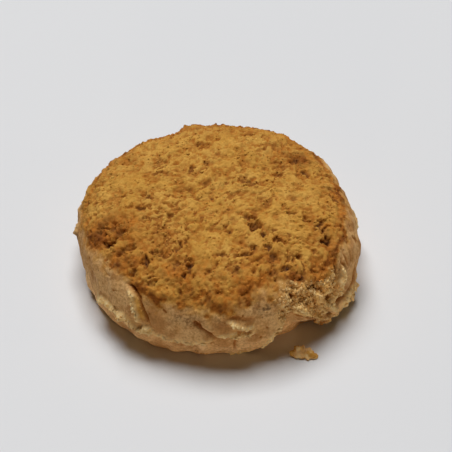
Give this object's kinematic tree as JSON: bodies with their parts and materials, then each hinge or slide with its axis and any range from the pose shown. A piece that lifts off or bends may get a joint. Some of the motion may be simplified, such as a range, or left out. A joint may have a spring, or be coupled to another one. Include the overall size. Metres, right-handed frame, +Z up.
{
  "type": "coconut mantecado",
  "caption": "Round thick crumbly shortbread biscuit with a browned pitted top crust, a pale folded side and a broken corner, resting on a flat base.",
  "frame": {"origin": "middle of the flat base, on the surface that the biscuit rests on", "axes": "+Z up through the crust, -Y towards the picture's viewpoint, +X to its right; the broken corner is towards +X and -Y"},
  "size_m": [0.0518, 0.053, 0.0177],
  "materials": {
    "baked_dough": "matt, dry and crumbly: golden brown crust over a pale tan side"
  },
  "bodies": {
    "root": {"mantecado": "baked_dough"}
  },
  "joints": []
}
